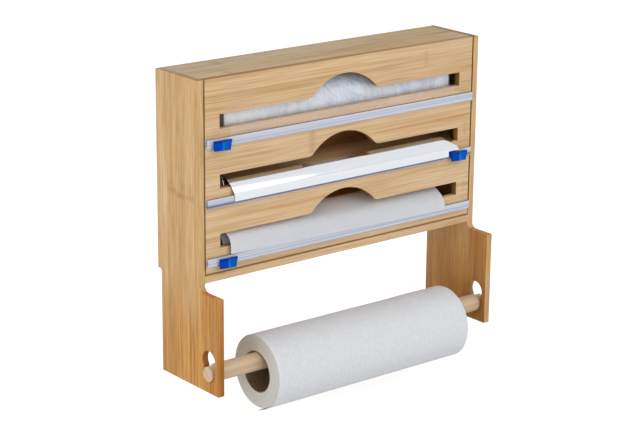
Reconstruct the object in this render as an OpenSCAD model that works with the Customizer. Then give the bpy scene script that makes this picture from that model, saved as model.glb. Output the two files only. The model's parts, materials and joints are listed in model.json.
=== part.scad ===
// Wall-hung wrap dispenser with a towel rod underneath.
// Shop frame: x from the middle, y back from the front of the box, z up from the feet.

/* [Case] */
// Overall width over the side panels
case_w = 375; // [300:1:480]
// Height from the feet of the legs to the top
case_h = 322.5; // [285:0.5:380]
// Depth of the box from its front to the wall
box_d = 73.5; // [70:0.5:95]
// Thickness of the bamboo boards
board_t = 7.3; // [6.5:0.1:9]
// Thickness of the back board
back_t = 6; // [4:0.5:8]
// How far the legs reach out in front of the box
arm_reach = 32; // [30:0.5:45]
// How far the top edge of the arms lies below the box
arm_drop = 8; // [6.5:0.5:30]
// Radius of the hollow corner above each arm
arm_fillet_r = 6.5; // [2:0.5:8]
// Radius of the hollow corner at the step behind each leg
step_fillet_r = 3; // [1:0.5:5]
// Distance of the wall screws below the top
screw_drop = 22.5; // [14:0.5:34]
// Distance between the wall screws
screw_span = 240; // [180:1:300]
// Diameter of the wall screw holes
screw_hole_d = 4.5; // [3.5:0.1:5.5]
// Diameter of the countersinks of the wall screw holes
screw_sink_d = 9; // [7:0.5:10]
// Diameter of the joining dowels
dowel_d = 4; // [3:0.5:5]
// Length of the joining dowels
dowel_l = 12; // [10:0.5:14]
// Depth of the dowels in the side panels
dowel_seat = 4.5; // [3:0.5:5.5]
// Distance of the dowels from the front and back ends of a board
dowel_inset = 15; // [8:0.5:20]
// Radial clearance of a glued dowel, pin or magnet in its hole
glue_gap = 0.02; // [0.01:0.01:0.05]

/* [Door] */
// Gap on each side of the door
door_side_gap = 1.3; // [0.6:0.1:2]
// Gap under the door
door_low_gap = 1.4; // [1:0.1:2]
// Gap between the back of the door and the boards behind it
door_back_gap = 0.6; // [0.4:0.1:1.5]
// Height of the hinge pins above the lower edge of the door
hinge_h = 5; // [4.5:0.1:6]
// Diameter of the hinge pins
pin_d = 3; // [2:0.1:3.5]
// Length of a hinge pin in the door
pin_in_door = 9; // [6:0.5:12]
// Length of a hinge pin in the side panel
pin_in_side = 4.5; // [3:0.5:5]
// Radial running clearance of the hinge pins
pin_clear = 0.05; // [0.03:0.01:0.1]
// Rounding of the lower front edge of the door
door_edge_r = 2; // [1:0.1:2.5]
// Wood left beside a dispensing slot
slot_margin = 17.9; // [14:0.1:50]
// Height of a dispensing slot
slot_h = 15; // [12:0.5:17]
// Distance between slots
slot_pitch = 62; // [60:0.5:64]
// Height of the lowest slot above the lower edge of the door
slot_low = 25.6; // [24:0.1:30]
// Wood left above the top slot
top_rail = 37.2; // [32:0.1:60]
// Width of the finger scallop where it meets the slot
scallop_w = 87.5; // [60:0.5:110]
// Rise of the finger scallop above the slot
scallop_rise = 20.8; // [14:0.1:22]
// Easing radius at the ends of the scallop
scallop_ease_r = 9; // [4:0.5:14]
// Diameter of the catch magnets
magnet_d = 5; // [4:0.5:5.5]
// Thickness of the catch magnets
magnet_t = 2; // [1.5:0.1:3]
// Distance between the catch magnets
magnet_span = 300; // [150:1:310]

/* [Shelves] */
// Thickness of the shelves
shelf_t = 7.3; // [6.5:0.1:8]
// How far the shelves stay behind the back of the door
shelf_setback = 2.2; // [1:0.1:6]
// How far the top of a shelf lies below its slot
shelf_drop = 19.6; // [17:0.1:21]

/* [Cutters] */
// Height of a track
track_h = 9.4; // [8.5:0.1:10.5]
// How far a track stands out of the door
track_t = 3.2; // [2.8:0.1:4]
// Distance from a slot down to its track
track_drop = 8.7; // [7.5:0.1:10]
// How far a track stays short of the edges of the door
track_inset = 0.5; // [0:0.1:3]
// Depth of the hook channel behind the foot of a track
track_gap = 1.6; // [1.4:0.1:2]
// Height of the hook channel behind the foot of a track
track_foot = 3.8; // [3.4:0.1:4.4]
// Wall of the hollow track
track_wall = 0.7; // [0.5:0.05:0.8]
// Width of a slider
slider_w = 21.4; // [16:0.1:28]
// How far the front of a slider stands out of the door
slider_out = 9.2; // [8.8:0.1:11]
// Distance of the grip's ridge from the left end of a slider
ridge_x = 9.4; // [6:0.1:12]
// How far the grip swells out to the left of the ridge
grip_swell = 1.6; // [0.6:0.1:1.8]
// Distance of the swelling's crest from the ridge
ridge_back = 1.6; // [0.5:0.1:3]
// Depth of the thumb dish to the right of the ridge
dish_depth = 1.5; // [0.4:0.1:1.8]
// How far the skirt of a slider hangs below its track
slider_skirt = 3.8; // [3:0.1:4.5]
// Thickness of the skirt below the hook
skirt_t = 3; // [2:0.1:3.2]
// Height of the hook's floor
hook_floor = 2; // [1.2:0.1:2.2]
// How far the hook stays short of the ends of a slider
hook_inset = 4; // [2:0.1:5]
// How far the right end of a slider leans in at its foot
end_lean = 1.8; // [0.5:0.1:2.5]
// Length of the tongues that ride in the track's groove
tongue_l = 4; // [2:0.5:5]
// How far the top of a slider stays below the top of its track
slider_down = 1.2; // [0.5:0.1:2]
// Gap between a track and the inside of a slider for the wrap
wrap_gap = 1.6; // [1.3:0.1:2]
// Running clearance between a slider and its track
slide_clear = 0.35; // [0.3:0.05:0.6]
// Thickness of the cutting blades
blade_t = 0.4; // [0.3:0.05:0.5]
// Length of the cutting blades
blade_l = 10; // [7:0.5:12]
// Depth of a blade in its slider
blade_seat = 1.4; // [0.8:0.1:1.8]
// Resting place of the top slider from the left end of its track
slider_top_x = 6.4; // [1:0.1:300]
// Resting place of the middle slider from the right end of its track
slider_middle_x = 8.9; // [1:0.1:300]
// Resting place of the bottom slider from the left end of its track
slider_bottom_x = 12.8; // [1:0.1:300]

/* [Wrap rolls] */
// Diameter of the cling film roll
film_d = 50; // [44:0.5:52]
// How much shorter the film is than its slot at each end
film_play = 9.5; // [7:0.1:60]
// How far the film roll lies to the right of the middle
film_shift = 3.2; // [-5:0.1:5]
// Diameter of the foil roll
foil_d = 32; // [30:0.5:36]
// How much narrower the foil is than its slot at each end
foil_play = 8; // [7:0.1:60]
// How far the foil roll lies to the right of the middle
foil_shift = 3.5; // [-5:0.1:5]
// Diameter of the baking paper roll
paper_d = 42; // [36:0.5:44]
// How much narrower the baking paper is than its slot at each end
paper_play = 15.25; // [7:0.05:60]
// How far the baking paper roll lies to the right of the middle
paper_shift = -4.75; // [-5:0.05:5]
// Bore of the roll cores
core_bore = 24; // [18:0.5:25]
// Wall of the roll cores
core_wall = 1.2; // [0.8:0.1:2]
// How far a core stands out of its roll at each end
core_stub = 4; // [2:0.5:6]
// Gap between a roll and the back of the door
roll_front_gap = 2.3; // [2:0.1:4]
// Clearance under a roll that lies on its shelf
roll_seat = 0.3; // [0.2:0.1:0.5]
// Thickness of the wrap as a solid
wrap_t = 0.5; // [0.3:0.05:0.6]
// Clearance between the wrap and what it lies on
wrap_clear = 0.3; // [0.2:0.05:0.4]
// Slope of the foil where it leaves its roll
foil_slope = 24; // [16:1:26]
// Bending radius of the foil over the slot
foil_bend_r = 9; // [5:0.5:11]
// Slope of the baking paper where it leaves its roll
paper_slope = 6; // [5:1:12]
// Bending radius of the baking paper over the slot
paper_bend_r = 8; // [4:0.5:10]
// Bending radius of the film over the slot's lower edge
film_bend_r = 1.2; // [0.6:0.1:1.4]
// How far the foil's cut edge stays above the track's groove
foil_edge = 0.35; // [0.2:0.05:7]
// How far the baking paper reaches down over its track
paper_over_track = 1.6; // [0.5:0.1:7.5]

/* [Towel holder] */
// Diameter of the towel rod
rod_d = 19; // [17:0.5:20]
// Diameter of the turned-down ends of the rod in the legs
tenon_d = 16.2; // [13:0.1:16.3]
// How far the rod's ends stand out of the legs
tenon_out = 1.9; // [0.5:0.1:6]
// Side play of the rod's shoulders at the legs
shoulder_gap = 0.5; // [0.3:0.1:1]
// Chamfer at the ends of the rod
rod_chamfer = 0.6; // [0.3:0.1:1.2]
// Distance of the rod holes in front of the box
rod_out = 15.4; // [13:0.1:17]
// Height of the lower holes that hold the rod's ends
rest_z = 22; // [20:0.1:26]
// Play of the rod's ends in the lower holes
rest_play = 3.4; // [2.4:0.1:4.4]
// Play of the rod in the upper holes that let it through
entry_play = 3.4; // [2.6:0.1:5]
// Clearance of the rod's ends at the waist between the holes
waist_clear = 0.32; // [0.2:0.01:1]
// Clearance under the rod's ends in the lower holes
rest_clear = 0.3; // [0.1:0.05:0.5]
// Diameter of the towel roll
towel_d = 79; // [60:0.5:110]
// Length of the towel roll
towel_l = 262; // [180:1:300]
// How far the towel roll hangs to the right of the middle
towel_shift = 4.5; // [-20:0.5:20]
// Bore of the towel roll's core
towel_bore = 43; // [36:0.1:46]
// Wall of the towel roll's core
towel_core_wall = 0.9; // [0.6:0.1:1.5]
// Gap between the core and the rod it hangs on
hang_gap = 0.3; // [0.2:0.05:0.4]
// Length of the loose end of the towel
towel_tail = 9; // [4:0.5:16]
// Thickness of the loose end of the towel
towel_tail_t = 0.6; // [0.4:0.1:1]

/* [Hidden] */
$fn = 96;
eps = 0.01;
// how far the easing arcs dip into the slot, so that they cross its edge cleanly
ease_sink = 0.05;
half_w = case_w / 2;
inner_half = half_w - board_t;
leg_back_y = box_d - back_t;
// the box takes its height from its slots, and the legs take up the rest
box_h = board_t + door_low_gap + slot_low + 2 * slot_pitch + slot_h + top_rail;
box_floor_z = case_h - box_h;
arm_top_z = box_floor_z - arm_drop;
screw_z = case_h - screw_drop;
floor_top_z = box_floor_z + board_t;
door_z = floor_top_z + door_low_gap;
door_half = inner_half - door_side_gap;
slot_l = 2 * (door_half - slot_margin);
track_l = 2 * (door_half - track_inset);
hinge_y = board_t / 2;
hinge_z = door_z + hinge_h;
board_front_y = board_t + door_back_gap;
shelf_front_y = board_t + shelf_setback;
top_z = case_h - board_t / 2;
// radius of an arc from its chord and its rise
function arc_r(chord, rise) = (chord * chord / 4 + rise * rise) / (2 * rise);
// slot, track and shelf heights, counted from the bottom
function slot_z(i) = door_z + slot_low + i * slot_pitch;
function track_z(i) = slot_z(i) - track_drop - track_h;
function seat_z(i) = i == 0 ? floor_top_z : slot_z(i) - shelf_drop;
// places of the rolls
core_d = core_bore + 2 * core_wall;
film_l = slot_l - 2 * film_play;
film_left = film_l / 2 - film_shift;
foil_l = slot_l - 2 * foil_play;
foil_left = foil_l / 2 - foil_shift;
paper_l = slot_l - 2 * paper_play;
paper_left = paper_l / 2 - paper_shift;
film_c = [board_t + roll_front_gap + film_d / 2, seat_z(2) + roll_seat + film_d / 2];
foil_c = [board_t + roll_front_gap + foil_d / 2, seat_z(1) + roll_seat + foil_d / 2];
paper_c = [board_t + roll_front_gap + paper_d / 2, seat_z(0) + roll_seat + paper_d / 2];
// plane in which the wrap hangs in front of a track
wrap_y = -(track_t + wrap_gap / 2);
// figure-of-eight rod holes, whose waist lets the rod's ends pass
rest_d = tenon_d + rest_play;
entry_d = rod_d + entry_play;
waist = tenon_d / 2 + waist_clear;
entry_rise = sqrt(pow(rest_d / 2, 2) - pow(waist, 2)) + sqrt(pow(entry_d / 2, 2) - pow(waist, 2));
// towel rod and roll
rod_y = -rod_out;
rod_z = rest_z - rest_d / 2 + tenon_d / 2 + rest_clear;
rod_end = half_w + tenon_out;
towel_z = rod_z + rod_d / 2 + hang_gap - towel_bore / 2;
towel_left = towel_l / 2 - towel_shift;
board_color = "#d8b588";
side_color = "#cda871";

// moves a piece from the shop frame to the frame at the wall screws
module hung() {
  translate([0, -box_d, -screw_z]) children();
}

// extrudes a y-z outline along x
module along_x(x0, w) {
  translate([x0, 0, 0]) rotate([90, 0, 90]) linear_extrude(height = w) children();
}

// round bar along x
module bar_x(x0, w, y, z, d) {
  translate([x0, y, z]) rotate([0, 90, 0]) cylinder(d = d, h = w);
}

// round bar along y
module bar_y(y0, l, x, z, d) {
  translate([x, y0, z]) rotate([-90, 0, 0]) cylinder(d = d, h = l);
}

// fills a square corner at p so that it becomes hollow, sy and sz point into the gap
module hollow_corner(p, r, sy, sz) {
  translate(p) difference() {
    translate([sy > 0 ? -eps : -r, sz > 0 ? -eps : -r]) square(r + eps);
    translate([sy * r, sz * r]) circle(r = r);
  }
}

// dowels of one board end: y range of the board and its middle height
module dowel_pair(y0, y1, z, grow) {
  for (y = [y0 + dowel_inset, y1 - dowel_inset])
    for (s = [-1, 1])
      bar_x(s > 0 ? inner_half + dowel_seat - dowel_l : -inner_half - dowel_seat,
            dowel_l, y, z, dowel_d + 2 * grow);
}

module all_dowels(grow) {
  dowel_pair(board_front_y, leg_back_y, top_z, grow);
  dowel_pair(0, leg_back_y, box_floor_z + board_t / 2, grow);
  for (i = [1, 2]) dowel_pair(shelf_front_y, leg_back_y, seat_z(i) - shelf_t / 2, grow);
}

module side_outline() {
  difference() {
    union() {
      translate([0, arm_top_z]) square([leg_back_y, case_h - arm_top_z]);
      translate([leg_back_y - eps, box_floor_z]) square([back_t + eps, case_h - box_floor_z]);
      translate([-arm_reach, 0]) square([arm_reach + leg_back_y, arm_top_z + eps]);
      hollow_corner([0, arm_top_z], arm_fillet_r, -1, 1);
      hollow_corner([leg_back_y, box_floor_z], step_fillet_r, 1, -1);
    }
    translate([rod_y, rest_z + entry_rise]) circle(d = entry_d);
    translate([rod_y, rest_z]) circle(d = rest_d);
  }
}

module side_panel(s) {
  difference() {
    along_x(s > 0 ? inner_half : -half_w, board_t) side_outline();
    all_dowels(glue_gap);
    bar_x(s > 0 ? inner_half - eps : -inner_half - pin_in_side - door_side_gap,
          pin_in_side + door_side_gap + eps, hinge_y, hinge_z, pin_d + 2 * pin_clear);
  }
}

module left_side_panel() {
  color(side_color) side_panel(-1);
}

module right_side_panel() {
  color(side_color) side_panel(1);
}

// flat board between the side panels
module cross_board(y0, y1, z0, t) {
  translate([-inner_half, y0, z0]) cube([2 * inner_half, y1 - y0, t]);
}

module top_board() {
  color(board_color) difference() {
    cross_board(board_front_y, leg_back_y, case_h - board_t, board_t);
    all_dowels(glue_gap);
    catch_discs(board_front_y - eps, magnet_t + eps, glue_gap);
  }
}

module bottom_board() {
  color(board_color) difference() {
    cross_board(0, leg_back_y, box_floor_z, board_t);
    all_dowels(glue_gap);
  }
}

module back_panel() {
  color(board_color) difference() {
    translate([-inner_half, leg_back_y, box_floor_z])
      cube([2 * inner_half, back_t, case_h - box_floor_z]);
    for (s = [-1, 1]) {
      bar_y(leg_back_y - eps, back_t + 2 * eps, s * screw_span / 2, screw_z, screw_hole_d);
      translate([s * screw_span / 2, leg_back_y - eps, screw_z]) rotate([-90, 0, 0])
        cylinder(d1 = screw_sink_d, d2 = screw_hole_d, h = (screw_sink_d - screw_hole_d) / 2);
    }
  }
}

module shelf(i) {
  color(board_color) difference() {
    cross_board(shelf_front_y, leg_back_y, seat_z(i) - shelf_t, shelf_t);
    all_dowels(glue_gap);
  }
}

module lower_shelf() {
  shelf(1);
}

module upper_shelf() {
  shelf(2);
}

module case_dowels() {
  color("#e3cda6") all_dowels(0);
}

// pair of catch discs that start at y0
module catch_discs(y0, l, grow) {
  for (s = [-1, 1]) bar_y(y0, l, s * magnet_span / 2, top_z, magnet_d + 2 * grow);
}

module strike_plates() {
  color("#b8bcc0") catch_discs(board_front_y, magnet_t - glue_gap, 0);
}

module catch_magnets() {
  color("#8d9196") catch_discs(board_t - magnet_t + glue_gap, magnet_t - glue_gap, 0);
}

// slot with its finger scallop, in x-z, from the slot's lower edge
module slot_outline() {
  r = arc_r(scallop_w, scallop_rise);
  c = [0, slot_h + scallop_rise - r];
  ex = sqrt(pow(r + scallop_ease_r, 2) - pow(r + scallop_ease_r - scallop_rise, 2));
  e = [ex, slot_h + scallop_ease_r - ease_sink];
  t = c + (e - c) * r / norm(e - c);
  translate([-slot_l / 2, 0]) square([slot_l, slot_h]);
  intersection() {
    translate(c) circle(r = r);
    translate([-slot_l / 2, slot_h / 2]) square([slot_l, slot_h / 2 + scallop_rise + 1]);
  }
  for (s = [0, 1]) mirror([s, 0]) difference() {
    polygon([[0, slot_h / 2], [ex, slot_h / 2], e, t]);
    translate(e) circle(r = scallop_ease_r);
  }
}

module front_door() {
  color(board_color) difference() {
    translate([0, board_t, 0]) rotate([90, 0, 0]) linear_extrude(height = board_t) difference() {
      translate([-door_half, door_z]) square([2 * door_half, case_h - door_z]);
      for (i = [0, 1, 2]) translate([0, slot_z(i)]) slot_outline();
    }
    along_x(-door_half - 1, 2 * door_half + 2) difference() {
      translate([-1, door_z - 1]) square(door_edge_r + 1);
      translate([door_edge_r, door_z + door_edge_r]) circle(r = door_edge_r);
    }
    for (s = [-1, 1])
      bar_x(s > 0 ? door_half - pin_in_door : -door_half - eps, pin_in_door + eps,
            hinge_y, hinge_z, pin_d + 2 * glue_gap);
    catch_discs(board_t - magnet_t, magnet_t + eps, glue_gap);
  }
}

module hinge_pins() {
  color("#9a9da1") for (s = [-1, 1])
    bar_x(s > 0 ? door_half - pin_in_door + glue_gap : -inner_half - pin_in_side,
          pin_in_door - glue_gap + door_side_gap + pin_in_side, hinge_y, hinge_z, pin_d);
}

// hollow rail with a hook channel behind its foot and a groove for the blade
module track_outline(i) {
  z = track_z(i);
  groove_z = z + slide_clear;
  difference() {
    translate([-track_t, z]) square([track_t, track_h]);
    translate([-track_gap, z - 1]) square([track_gap + 1, track_foot + 1]);
    translate([-track_t + track_wall, z + track_foot + track_wall])
      square([track_t - 2 * track_wall, track_h - track_foot - 2 * track_wall]);
    translate([-track_t - 1, groove_z])
      square([1 + track_wall, blade_t + 2 * slide_clear]);
  }
}

module track(i) {
  color("#ccd2ea") along_x(-track_l / 2, track_l) track_outline(i);
}

module bottom_track() {
  track(0);
}

module middle_track() {
  track(1);
}

module top_track() {
  track(2);
}

// left end of a slider
function slider_x(from_end) = -track_l / 2 + from_end;

// inside of a slider and the end of its tongues and blade in the groove
slider_in = track_t + wrap_gap;
groove_end = track_t - track_wall + slide_clear;

// plan of the slider's grip: it swells to a ridge and falls off into a thumb dish on the right
module grip_plan() {
  face = slider_out - grip_swell;
  crest = ridge_x - ridge_back;
  swell_r = arc_r(2 * crest, grip_swell);
  ridge = [ridge_x, -slider_out + swell_r - sqrt(pow(swell_r, 2) - pow(ridge_back, 2))];
  heel = [slider_w, -face];
  chord = heel - ridge;
  dish_r = arc_r(norm(chord), dish_depth);
  out = [chord[1], -chord[0]] / norm(chord);
  difference() {
    union() {
      translate([0, -face]) square([slider_w, face - slider_in]);
      intersection() {
        translate([crest, -slider_out + swell_r]) circle(r = swell_r);
        translate([0, -slider_out]) square([slider_w, slider_out - slider_in]);
      }
    }
    translate((ridge + heel) / 2 + out * (dish_r - dish_depth)) circle(r = dish_r);
  }
}

// slider that hooks under the foot of its track
module slider(i, from_end) {
  z = track_z(i);
  top = z + track_h - slider_down;
  foot = z - slider_skirt;
  floor_z = z - slide_clear - hook_floor;
  hook_y = -(track_gap - slide_clear);
  hook_l = slider_w - 2 * hook_inset;
  // the leaning plane runs a little past the grip at both ends
  over = end_lean / (top - foot);
  color("#0a57c9") translate([slider_x(from_end), 0, 0]) difference() {
    union() {
      translate([0, 0, foot]) linear_extrude(height = top - foot) grip_plan();
      translate([hook_inset, -slider_in - eps, floor_z])
        cube([hook_l, slider_in + eps - slide_clear, hook_floor]);
      translate([hook_inset, hook_y, floor_z])
        cube([hook_l, -hook_y - slide_clear, z + track_foot - slide_clear - floor_z]);
      for (x = [0, slider_w - tongue_l]) translate([x, -slider_in - eps, blade_z(i)])
        cube([tongue_l, slider_in + eps - groove_end, blade_t]);
    }
    translate([-1, -slider_out + skirt_t, foot - 1])
      cube([slider_w + 2, slider_out, floor_z - foot + 1]);
    translate([0, 1, 0]) rotate([90, 0, 0]) linear_extrude(height = slider_out + 2) polygon([
      [slider_w - end_lean - 2 * over, foot - 1], [slider_w + 1, foot - 1],
      [slider_w + 1, top + 1], [slider_w, top + 1]
    ]);
    translate([(slider_w - blade_l) / 2 - glue_gap, -slider_in - blade_seat - glue_gap, blade_z(i) - glue_gap])
      cube([blade_l + 2 * glue_gap, blade_seat + 2 * glue_gap, blade_t + 2 * glue_gap]);
  }
}

// underside of a blade
function blade_z(i) = track_z(i) + 2 * slide_clear;

// thin blade that runs in the groove of the track, pointed at both ends
module blade(i, from_end) {
  half = blade_l / 2;
  back = -slider_in - blade_seat;
  point = slider_in - groove_end;
  color("#c9ccd0") translate([slider_x(from_end) + slider_w / 2, 0, blade_z(i)])
    linear_extrude(height = blade_t) polygon([
      [-half, back], [half, back], [half, -slider_in], [half - point, -groove_end],
      [-half + point, -groove_end], [-half, -slider_in]
    ]);
}

module top_slider() {
  slider(2, slider_top_x);
}

module middle_slider() {
  slider(1, track_l - slider_w - slider_middle_x);
}

module bottom_slider() {
  slider(0, slider_bottom_x);
}

module top_blade() {
  blade(2, slider_top_x);
}

module middle_blade() {
  blade(1, track_l - slider_w - slider_middle_x);
}

module bottom_blade() {
  blade(0, slider_bottom_x);
}

// wound roll on its core
module wound(c, d, left, l) {
  difference() {
    bar_x(-left, l, c[0], c[1], d);
    bar_x(-left - 1, l + 2, c[0], c[1], core_d + 2 * glue_gap);
  }
}

module core(c, left, l) {
  difference() {
    bar_x(-left - core_stub, l + 2 * core_stub, c[0], c[1], core_d);
    bar_x(-left - core_stub - 1, l + 2 * core_stub + 2, c[0], c[1], core_bore);
  }
}

module film_roll() {
  color("#d5dae2") wound(film_c, film_d, film_left, film_l);
}

module film_core() {
  color("#a08a6c") core(film_c, film_left, film_l);
}

module foil_roll() {
  color("#c8ccd2") wound(foil_c, foil_d, foil_left, foil_l);
}

module foil_core() {
  color("#a08a6c") core(foil_c, foil_left, foil_l);
}

module paper_roll() {
  color("#d4d2cd") wound(paper_c, paper_d, paper_left, paper_l);
}

module paper_core() {
  color("#a08a6c") core(paper_c, paper_left, paper_l);
}

// straight run of wrap from p, a degrees below the forward level
module run2(p, a, l) {
  translate(p) rotate(180 + a) translate([-eps, -wrap_t / 2]) square([l + 2 * eps, wrap_t]);
}

// bend of the wrap about c from slope a to slope b
module bend2(c, r, a, b) {
  far = 3 * r;
  translate(c) intersection() {
    difference() {
      circle(r = r + wrap_t / 2);
      circle(r = r - wrap_t / 2);
    }
    polygon([[0, 0], far * [cos(90 + a), sin(90 + a)],
      far * [cos(90 + (a + b) / 2), sin(90 + (a + b) / 2)], far * [cos(90 + b), sin(90 + b)]]);
  }
}

// wrap that leaves the top of a roll, bends over the slot and hangs in front of its track
module hanging_wrap(c, d, slope, bend_r, end_z, left, l) {
  r = d / 2 + wrap_clear + wrap_t / 2;
  p0 = c + r * [-sin(slope), cos(slope)];
  bend_y = wrap_y + bend_r * (1 - sin(slope));
  run = (p0[0] - bend_y) / cos(slope);
  p1 = p0 + run * [-cos(slope), -sin(slope)];
  b = p1 + bend_r * [sin(slope), -cos(slope)];
  along_x(-left, l) {
    run2(p0, slope, run);
    bend2(b, bend_r, slope, 90);
    run2([wrap_y, b[1]], 90, b[1] - end_z);
  }
}

module foil_sheet() {
  color("#e4e7ee") hanging_wrap(foil_c, foil_d, foil_slope, foil_bend_r,
    track_z(1) + 3 * slide_clear + blade_t + foil_edge, foil_left, foil_l);
}

module paper_sheet() {
  color("#d6d6d8") hanging_wrap(paper_c, paper_d, paper_slope, paper_bend_r,
    track_z(0) + track_h - paper_over_track, paper_left, paper_l);
}

// film that comes down the front of its roll, over the slot's lower edge and down to the track
module film_sheet() {
  r = film_bend_r;
  out_y = -(wrap_clear + wrap_t / 2);
  lip_z = slot_z(2) + wrap_clear + wrap_t / 2;
  roll_y = film_c[0] - film_d / 2 - wrap_clear - wrap_t / 2;
  color("#e6ebf2") along_x(-film_left, film_l) {
    run2([roll_y, film_c[1]], 90, film_c[1] - lip_z - r);
    translate([roll_y, lip_z + r]) rotate(180) bend2([r, 0], r, 0, 90);
    run2([roll_y - r, lip_z], 0, roll_y - out_y - 2 * r);
    bend2([out_y + r, lip_z - r], r, 0, 90);
    run2([out_y, lip_z - r], 90, lip_z - r - track_z(2) - track_h - wrap_clear);
  }
}

// half of the rod as a lathe profile: radius, distance along the rod
module rod_profile() {
  shoulder = inner_half - shoulder_gap;
  r = rod_d / 2;
  t = tenon_d / 2;
  c = rod_chamfer;
  polygon([
    [0, -rod_end], [t - c, -rod_end], [t, -rod_end + c], [t, -shoulder],
    [r - c, -shoulder], [r, -shoulder + c], [r, shoulder - c], [r - c, shoulder],
    [t, shoulder], [t, rod_end - c], [t - c, rod_end], [0, rod_end]
  ]);
}

module towel_rod() {
  color("#dcc7a3") translate([0, rod_y, rod_z]) rotate([0, 90, 0]) rotate_extrude() rod_profile();
}

// wound towel with a loose end that stands off along the underside
module towel_roll() {
  low_z = towel_z - towel_d / 2;
  color("#eceef0") difference() {
    along_x(-towel_left, towel_l) {
      translate([rod_y, towel_z]) circle(d = towel_d);
      translate([rod_y, low_z]) square([towel_tail, towel_tail_t]);
    }
    bar_x(-towel_left - 1, towel_l + 2, rod_y, towel_z, towel_bore + 2 * towel_core_wall + 2 * glue_gap);
  }
}

module towel_core() {
  color("#a8957a") difference() {
    bar_x(-towel_left, towel_l, rod_y, towel_z, towel_bore + 2 * towel_core_wall);
    bar_x(-towel_left - 1, towel_l + 2, rod_y, towel_z, towel_bore);
  }
}

hung() left_side_panel();
hung() right_side_panel();
hung() top_board();
hung() bottom_board();
hung() back_panel();
hung() lower_shelf();
hung() upper_shelf();
hung() case_dowels();
hung() strike_plates();
hung() front_door();
hung() hinge_pins();
hung() catch_magnets();
hung() top_track();
hung() middle_track();
hung() bottom_track();
hung() top_slider();
hung() middle_slider();
hung() bottom_slider();
hung() top_blade();
hung() middle_blade();
hung() bottom_blade();
hung() film_roll();
hung() film_core();
hung() foil_roll();
hung() foil_core();
hung() paper_roll();
hung() paper_core();
hung() film_sheet();
hung() foil_sheet();
hung() paper_sheet();
hung() towel_rod();
hung() towel_roll();
hung() towel_core();
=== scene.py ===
import json
import math
import bpy
from mathutils import Matrix, Vector, noise

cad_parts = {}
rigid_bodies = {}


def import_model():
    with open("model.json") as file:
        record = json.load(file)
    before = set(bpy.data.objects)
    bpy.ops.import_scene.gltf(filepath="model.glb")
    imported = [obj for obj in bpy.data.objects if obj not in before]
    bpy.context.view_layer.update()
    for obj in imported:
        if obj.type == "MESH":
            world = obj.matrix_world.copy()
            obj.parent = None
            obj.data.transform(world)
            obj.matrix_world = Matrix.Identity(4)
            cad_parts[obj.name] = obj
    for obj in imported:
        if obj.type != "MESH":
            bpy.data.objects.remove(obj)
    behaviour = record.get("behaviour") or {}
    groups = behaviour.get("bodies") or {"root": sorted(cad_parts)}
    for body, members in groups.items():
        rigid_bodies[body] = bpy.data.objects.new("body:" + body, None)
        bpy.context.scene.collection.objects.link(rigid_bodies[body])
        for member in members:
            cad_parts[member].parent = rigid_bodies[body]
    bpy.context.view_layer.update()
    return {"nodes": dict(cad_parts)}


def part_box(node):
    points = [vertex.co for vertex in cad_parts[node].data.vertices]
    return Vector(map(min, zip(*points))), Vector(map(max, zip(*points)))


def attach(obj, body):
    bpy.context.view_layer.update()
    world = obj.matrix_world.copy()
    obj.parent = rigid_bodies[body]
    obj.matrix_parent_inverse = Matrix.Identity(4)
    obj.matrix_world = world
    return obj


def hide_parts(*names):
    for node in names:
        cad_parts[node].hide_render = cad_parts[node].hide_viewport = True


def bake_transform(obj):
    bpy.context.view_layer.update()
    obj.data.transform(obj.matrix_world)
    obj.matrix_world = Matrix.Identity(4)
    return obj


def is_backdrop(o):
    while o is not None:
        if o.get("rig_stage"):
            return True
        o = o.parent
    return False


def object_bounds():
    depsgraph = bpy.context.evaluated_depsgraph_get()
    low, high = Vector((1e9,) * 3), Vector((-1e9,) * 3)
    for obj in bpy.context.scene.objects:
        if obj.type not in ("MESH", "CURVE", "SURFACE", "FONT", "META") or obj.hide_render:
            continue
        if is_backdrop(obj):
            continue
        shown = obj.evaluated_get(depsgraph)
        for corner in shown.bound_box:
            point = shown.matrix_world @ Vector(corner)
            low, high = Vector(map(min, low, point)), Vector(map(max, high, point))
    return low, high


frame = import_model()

nodes = frame["nodes"]
print("frame loaded:", len(nodes), "nodes")


# small helpers for selecting and building

boxDepth = 73.5  # mm from the front of the box to the wall
screwHeight = 300.0  # mm from the feet to the wall screws


def clearSelection():
    if bpy.context.mode != "OBJECT":
        bpy.ops.object.mode_set(mode="OBJECT")
    bpy.ops.object.select_all(action="DESELECT")


def pick(obj):
    clearSelection()
    obj.select_set(True)
    bpy.context.view_layer.objects.active = obj


def settle(obj):  # the place goes into the mesh
    pick(obj)
    bpy.ops.object.transform_apply(location=True, rotation=True, scale=True)


def paint(obj, finish):
    obj.data.materials.clear()
    obj.data.materials.append(finish)


def dress(node, finish):  # a CAD node keeps its mesh and gets another finish
    obj = nodes[node]
    if not obj.material_slots:
        obj.data.materials.append(finish)
    for slot in obj.material_slots:
        slot.material = finish


def shop(y, z):  # from mm behind the front of the box and above the feet to the frame
    return (y - boxDepth) / 1000, (z - screwHeight) / 1000


def ramp(value, start, end):
    return max(0.0, min(1.0, (value - start) / (end - start)))


# camera at the photographed angle

cameraView = {"lens": 110.289, "sensor": 36, "clipEnd": 50, "place": (-1.26604, -1.60976, 0.45119),
              "yaw": 0.6767, "pitch": 0.2948, "roll": 0.0095}


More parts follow.
